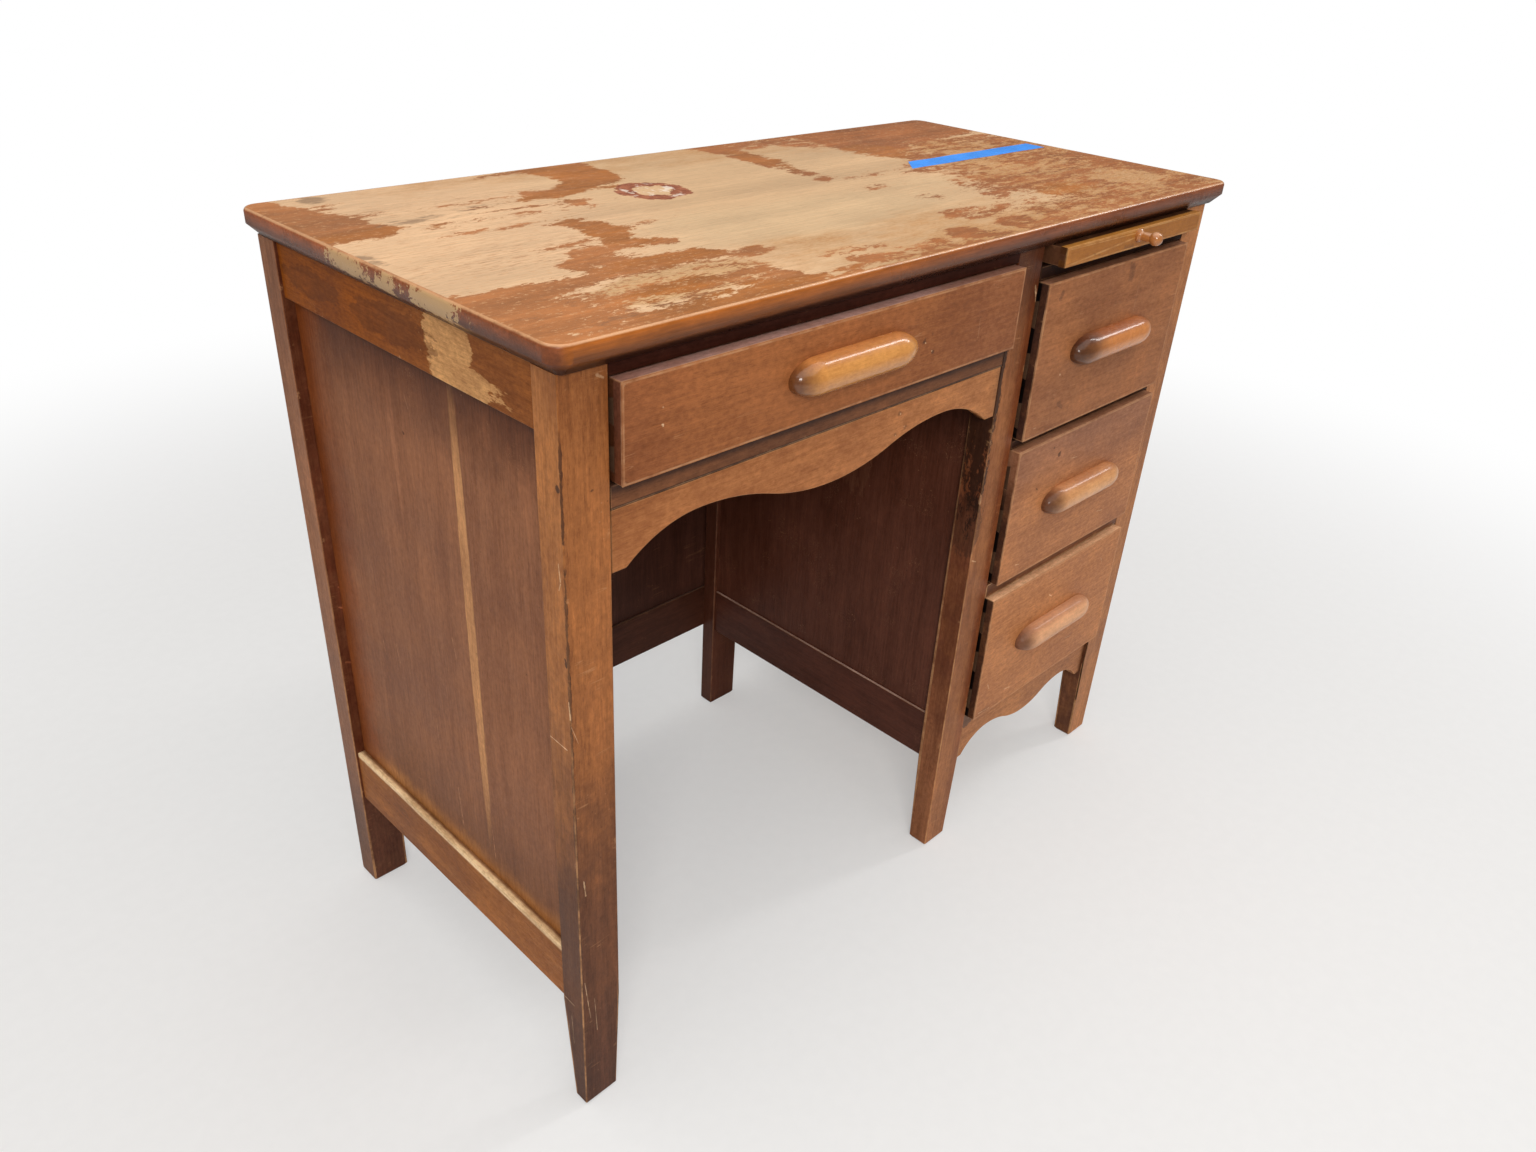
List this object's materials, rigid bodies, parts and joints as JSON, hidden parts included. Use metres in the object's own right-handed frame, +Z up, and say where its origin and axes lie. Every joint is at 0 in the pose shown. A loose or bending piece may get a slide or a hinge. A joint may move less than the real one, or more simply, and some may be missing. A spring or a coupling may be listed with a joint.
{
  "type": "teacher desk",
  "caption": "Small wooden single pedestal desk with a kneehole, scalloped aprons, a wide drawer, a stack of drawers and a pull-out writing slide.",
  "frame": {"origin": "on the floor under the middle of the whole desk", "axes": "+X to the sitter's right, towards the pedestal; +Y from the sitter to the back; +Z up"},
  "size_m": [0.922, 0.476, 0.762],
  "materials": {
    "plank_top": "worn clear varnish",
    "posts": "satin stained",
    "panels": "satin stained veneer",
    "aprons": "satin stained",
    "inside_timber": "bare sawn",
    "rails": "satin stained",
    "drawer_fronts": "matte stained",
    "pulls": "gloss varnish",
    "drawer_boxes": "bare planed",
    "drawer_bottoms": "bare sheet",
    "slide_board": "worn varnish",
    "slide_strip": "satin varnish",
    "slide_knob": "gloss varnish"
  },
  "bodies": {
    "carcass": {"back_lower_rail": "rails", "back_panel": "panels", "back_upper_rail": "rails", "drawer_rail_one": "rails", "drawer_rail_two": "rails", "front_top_rail": "rails", "glue_blocks": "inside_timber", "inner_lower_rail": "rails", "inner_panel": "panels", "inner_upper_rail": "rails", "knee_apron": "aprons", "knee_rail": "rails", "left_lower_rail": "rails", "left_panel": "panels", "left_upper_rail": "rails", "pedestal_apron": "aprons", "post_front_left": "posts", "post_front_right": "posts", "post_inner_front": "posts", "post_inner_rear": "posts", "post_rear_left": "posts", "post_rear_right": "posts", "right_lower_rail": "rails", "right_panel": "panels", "right_upper_rail": "rails", "runners_one": "inside_timber", "runners_slide": "inside_timber", "runners_three": "inside_timber", "runners_two": "inside_timber", "runners_wide": "inside_timber", "slide_rail": "rails", "top": "plank_top"},
    "wide_drawer": {"drawer_wide_back": "drawer_boxes", "drawer_wide_bottom": "drawer_bottoms", "drawer_wide_front": "drawer_fronts", "drawer_wide_pull": "pulls", "drawer_wide_side_left": "drawer_boxes", "drawer_wide_side_right": "drawer_boxes"},
    "drawer_1": {"drawer_one_back": "drawer_boxes", "drawer_one_bottom": "drawer_bottoms", "drawer_one_front": "drawer_fronts", "drawer_one_pull": "pulls", "drawer_one_side_left": "drawer_boxes", "drawer_one_side_right": "drawer_boxes"},
    "drawer_2": {"drawer_two_back": "drawer_boxes", "drawer_two_bottom": "drawer_bottoms", "drawer_two_front": "drawer_fronts", "drawer_two_pull": "pulls", "drawer_two_side_left": "drawer_boxes", "drawer_two_side_right": "drawer_boxes"},
    "drawer_3": {"drawer_three_back": "drawer_boxes", "drawer_three_bottom": "drawer_bottoms", "drawer_three_front": "drawer_fronts", "drawer_three_pull": "pulls", "drawer_three_side_left": "drawer_boxes", "drawer_three_side_right": "drawer_boxes"},
    "writing_slide": {"slide_board": "slide_board", "slide_strip": "slide_strip", "slide_knob": "slide_knob"}
  },
  "joints": [
    {"name": "wide_drawer_slide", "type": "slide", "parent": "carcass", "child": "wide_drawer", "axis": [0, -1, 0], "range_m": [-0.01, 0.3]},
    {"name": "drawer_1_slide", "type": "slide", "parent": "carcass", "child": "drawer_1", "axis": [0, -1, 0], "range_m": [-0.01, 0.3]},
    {"name": "drawer_2_slide", "type": "slide", "parent": "carcass", "child": "drawer_2", "axis": [0, -1, 0], "range_m": [-0.01, 0.3]},
    {"name": "drawer_3_slide", "type": "slide", "parent": "carcass", "child": "drawer_3", "axis": [0, -1, 0], "range_m": [-0.01, 0.3]},
    {"name": "writing_slide_slide", "type": "slide", "parent": "carcass", "child": "writing_slide", "axis": [0, -1, 0], "range_m": [-0.02, 0.25]}
  ]
}
